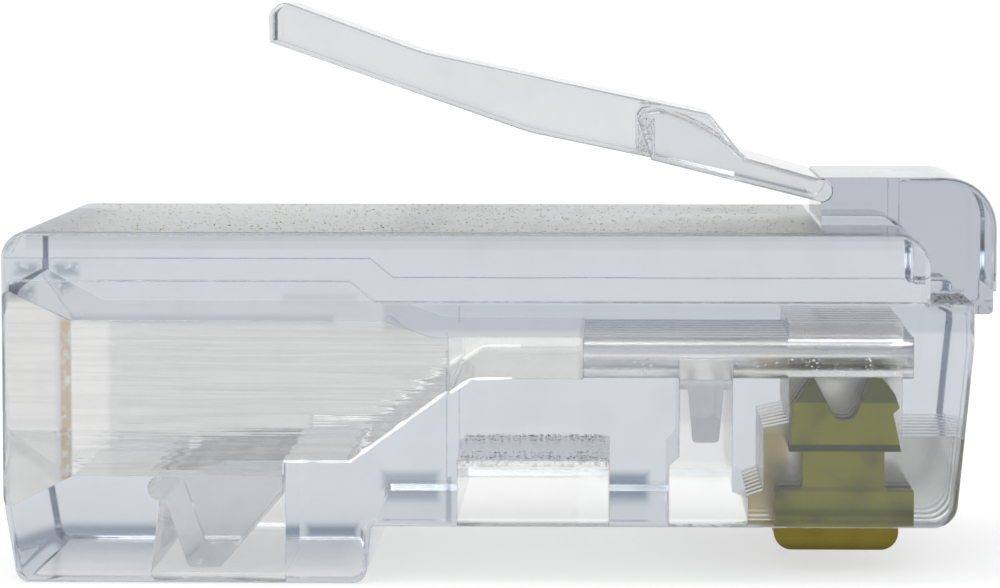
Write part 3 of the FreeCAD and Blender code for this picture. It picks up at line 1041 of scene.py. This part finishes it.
class PLUG_OT_dust(bpy.types.Operator):
    """Strew dust on the top and the ledge, and torn grains in the channels and over the pocket"""

    bl_idname = "plug.dust"
    bl_label = "Dust"

    def execute(self, context):
        settings = context.scene.plug.dust
        pieces = [
            *self.top_pieces(settings),
            self.channel_frost(settings),
            self.pocket_grains(settings),
            self.ramp_flash_and_glint(settings),
        ]
        for piece in pieces:
            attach(piece, "shell")
        return {"FINISHED"}

    def top_pieces(self, settings):
        """The pale film and the dark specks on the top, and the specks on the ledge."""
        warm = tuple(4.0 * channel for channel in settings.color)
        specks = speck_tree(dust_finish("dust_specks", settings.color, warm))
        pale = speck_tree(dust_finish("dust_film", settings.film_color, settings.film_shade))
        near = -HALF_WIDTH + 0.30 * MM
        far = HALF_WIDTH - 0.30 * MM
        film = strewn(
            "dust_film",
            [
                level(back(20.6), near, back(3.6), far, TOP * MM),
                level(back(19.8), near, back(3.6), near + 1.2 * MM, TOP * MM),
            ],
            0.9 * settings.speck_size,
            pale,
            4 * settings.density,
            settings.seed + 3,
        )
        top_patches = [
            level(back(20.6), near + 0.3 * MM, back(3.6), near + 1.1 * MM, TOP * MM),
            level(back(19.5), near + 1.1 * MM, back(10.0), near + 3.5 * MM, TOP * MM),
        ]
        for rear, inner in ((3.8, 2.2), (3.7, 2.5), (3.6, 2.6)):
            patch = level(back(rear), -2.9 * MM, back(3.3), -inner * MM, TOP * MM)
            top_patches.append(patch)
        top_dust = strewn(
            "top_dust", top_patches, settings.speck_size, specks, settings.density, settings.seed
        )
        ledge_patches = [
            level(back(0.85), near, back(0.10), -3.15 * MM, LEDGE * MM),
            level(back(0.85), 3.15 * MM, back(0.10), far, LEDGE * MM),
        ]
        ledge_dust = strewn(
            "ledge_dust",
            ledge_patches,
            settings.speck_size,
            specks,
            9 * settings.density,
            settings.seed + 1,
        )
        return film, top_dust, ledge_dust

    def channel_frost(self, settings):
        """Bright torn flecks along the foot of the outer wire channels, with a faint glow as a painted
        highlight.
        """
        # Painted highlight: a faint glow brightens the flecks
        finish = dust_finish(
            "frost_flecks_and_glow", settings.frost_color, settings.scorch_color, glint=True, glow=0.12
        )
        patches = []
        for side in (-1, 1):
            upper, lower = side * 4.01 * MM, side * 3.87 * MM
            for rear, front in ((5.2, 1.3), (8.45, 7.0)):
                patches.append(
                    [
                        (back(rear), upper, CHANNEL_MIDDLE * MM),
                        (back(front), upper, CHANNEL_MIDDLE * MM),
                        (back(front), lower, CHANNEL_FOOT * MM),
                        (back(rear), lower, CHANNEL_FOOT * MM),
                    ]
                )
        return strewn(
            "channel_frost",
            patches,
            0.9 * settings.speck_size,
            speck_tree(finish),
            30 * settings.density,
            settings.seed + 2,
        )

    def pocket_grains(self, settings):
        """Grains just above the pocket's ceiling, thickest near its two ends."""
        patches = []
        for side in (-1, 1):
            for inner, outer in ((2.9, 3.9), (2.9, 3.9), (1.6, 2.4)):
                inner_y, outer_y = side * inner * MM, side * outer * MM
                patch = level(back(11.35), inner_y, back(8.1), outer_y, POCKET_CEILING * MM)
                patches.append(patch)
        finish = dust_finish("pocket_grains", settings.frost_color, settings.grain_color)
        return strewn(
            "pocket_grains",
            patches,
            0.8 * settings.speck_size,
            speck_tree(finish),
            12 * settings.density,
            settings.seed + 4,
        )

    def ramp_flash_and_glint(self, settings):
        """The torn edge along the cavity's ramp and the start of the wire comb, which glows as a painted
        highlight.
        """
        jacket_path = ((15.25, 2.63), (13.80, 2.63), (11.64, 4.20))
        wire_path = ((11.56, 4.16), (11.10, 4.47), (10.2, 4.48))
        lines = []
        for side in (-1, 1):
            lines.append(spaced(jacket_path, side * CAVITY_WALL * MM))
            lines.append(spaced(wire_path, side * COMB_WALL * MM))
        # Painted highlight: the torn edge glows so that it shows as a bright line
        finish = dust_finish("torn_edge_and_glint", settings.frost_color, settings.frost_color, glow=0.9)
        return bead("ramp_flash_and_glint", lines, 0.034 * MM, finish)


class PLUG_OT_stage(bpy.types.Operator):
    """Put in the floor, the light and the camera"""

    bl_idname = "plug.stage"
    bl_label = "Stage"

    def execute(self, context):
        settings = context.scene.plug.stage
        self.floor(settings)
        self.light(context.scene)
        self.camera(context.scene, settings)
        return {"FINISHED"}

    def floor(self, settings):
        """A round sheet of paper that is seen white."""
        shape = bmesh.new()
        bmesh.ops.create_circle(shape, cap_ends=True, segments=96, radius=settings.floor_radius)
        mesh = bpy.data.meshes.new("floor")
        shape.to_mesh(mesh)
        shape.free()
        floor = bpy.data.objects.new("floor", mesh)
        bpy.context.collection.objects.link(floor)
        material, tree, shader, _ = new_material("floor_paper")
        shader.inputs["Base Color"].default_value = (*settings.floor_color, 1)
        shader.inputs["Roughness"].default_value = 0.9
        shader.inputs["Specular IOR Level"].default_value = 0.0
        shader.inputs["Emission Color"].default_value = (1.0, 1.0, 1.0, 1)
        glow = math_node(tree, "MULTIPLY", seen_ray(tree), settings.floor_glow)
        tree.links.new(glow, shader.inputs["Emission Strength"])
        mesh.materials.append(material)
        floor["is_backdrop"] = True

    def light(self, scene):
        """A white room, dimmer overhead and in front as the plastic sees it, and one lamp."""
        world = bpy.data.worlds.new("Studio")
        scene.world = world
        world.use_nodes = True
        tree = world.node_tree
        tree.nodes.clear()
        output = tree.nodes.new("ShaderNodeOutputWorld")
        direction = tree.nodes.new("ShaderNodeTexCoord").outputs["Generated"]
        parts = tree.nodes.new("ShaderNodeSeparateXYZ")
        tree.links.new(direction, parts.inputs[0])
        path = tree.nodes.new("ShaderNodeLightPath")
        through = path.outputs["Is Transmission Ray"]
        overhead = ramp(tree, parts.outputs["Z"], 0.12, 0.75)
        front = ramp(tree, parts.outputs["Y"], 0.1, -0.8)
        around = mix_color(tree, overhead, (*HORIZON, 1), (*OVERHEAD, 1))
        ahead = mix_color(tree, through, (*FRONT_REFLECTED, 1), (*FRONT_THROUGH, 1))
        seen = mix_color(tree, front, around, ahead)
        toward = add_node(tree, "ShaderNodeVectorMath")
        toward.operation = "DOT_PRODUCT"
        tree.links.new(direction, toward.inputs[0])
        toward.inputs[1].default_value = WINDOW_DIRECTION
        window = ramp(tree, toward.outputs["Value"], 0.93, 0.97)
        seen = mix_color(tree, window, seen, (*WINDOW, 1))
        lit = add_node(tree, "ShaderNodeBackground", Color=(1.0, 1.0, 1.0, 1), Strength=0.92)
        shown = add_node(tree, "ShaderNodeBackground", Color=seen, Strength=1.0)
        white = add_node(tree, "ShaderNodeBackground", Color=(1.0, 1.0, 1.0, 1), Strength=1.0)
        inside = math_node(tree, "MAXIMUM", path.outputs["Is Glossy Ray"], through)
        first = add_node(tree, "ShaderNodeMixShader", Fac=inside)
        tree.links.new(lit.outputs[0], first.inputs[1])
        tree.links.new(shown.outputs[0], first.inputs[2])
        second = add_node(tree, "ShaderNodeMixShader", Fac=path.outputs["Is Camera Ray"])
        tree.links.new(first.outputs[0], second.inputs[1])
        tree.links.new(white.outputs[0], second.inputs[2])
        tree.links.new(second.outputs[0], output.inputs["Surface"])
        lamp_data = bpy.data.lights.new("soft_box", "AREA")
        lamp_data.shape = "RECTANGLE"
        lamp_data.size = 0.16
        lamp_data.size_y = 0.12
        lamp_data.energy = 0.12
        lamp = bpy.data.objects.new("soft_box", lamp_data)
        bpy.context.collection.objects.link(lamp)
        lamp.location = (-0.05, -0.09, 0.20)
        aim = Vector((0, 0, 0.005)) - lamp.location
        lamp.rotation_euler = aim.to_track_quat("-Z", "Y").to_euler()

    def camera(self, scene, settings):
        """A camera level with the plug's side, and how deep light is followed."""
        data = bpy.data.cameras.new("camera")
        camera = bpy.data.objects.new("camera", data)
        bpy.context.collection.objects.link(camera)
        low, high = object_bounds()
        aim = Vector(((low[0] + high[0]) / 2 + settings.aim_shift, low[1], settings.aim_height))
        turn, rise = settings.azimuth, settings.elevation
        towards = Vector(
            (
                math.sin(turn) * math.cos(rise),
                -math.cos(turn) * math.cos(rise),
                math.sin(rise),
            )
        )
        camera.location = aim + towards * settings.distance
        camera.rotation_euler = (-towards).to_track_quat("-Z", "Y").to_euler()
        data.sensor_width = 36.0
        data.lens = data.sensor_width * settings.distance / settings.framed_width
        data.clip_start = 0.002
        data.clip_end = 50.0
        scene.camera = camera
        scene.view_settings.view_transform = "Standard"
        scene.cycles.max_bounces = 18
        scene.cycles.transmission_bounces = 18
        scene.cycles.glossy_bounces = 12
        scene.cycles.transparent_max_bounces = 16


class PLUG_PT_panel(bpy.types.Panel):
    """The plug's settings and steps"""

    bl_label = "Modular plug"
    bl_idname = "PLUG_PT_panel"
    bl_space_type = "VIEW_3D"
    bl_region_type = "UI"
    bl_category = "Plug"

    def draw(self, context):
        settings = context.scene.plug
        for title, group in (
            ("Plastic", settings.plastic),
            ("Contacts", settings.contacts),
            ("Dust", settings.dust),
            ("Stage", settings.stage),
        ):
            box = self.layout.box()
            box.label(text=title)
            for name in group.__annotations__:
                box.prop(group, name)
        for operator in OPERATORS:
            self.layout.operator(operator.bl_idname)


OPERATORS = (PLUG_OT_clear_mouldings, PLUG_OT_contacts, PLUG_OT_dust, PLUG_OT_stage)
SETTINGS = (
    PlugPlasticSettings,
    PlugContactSettings,
    PlugDustSettings,
    PlugStageSettings,
    PlugSettings,
)
CLASSES = (*SETTINGS, *OPERATORS, PLUG_PT_panel)


def register():
    for cls in CLASSES:
        bpy.utils.register_class(cls)
    bpy.types.Scene.plug = PointerProperty(type=PlugSettings)


def unregister():
    del bpy.types.Scene.plug
    for cls in reversed(CLASSES):
        bpy.utils.unregister_class(cls)


def main():
    register()
    bpy.ops.plug.clear_mouldings()
    bpy.ops.plug.contacts()
    bpy.ops.plug.dust()
    bpy.ops.plug.stage()


if __name__ == "__main__":
    main()
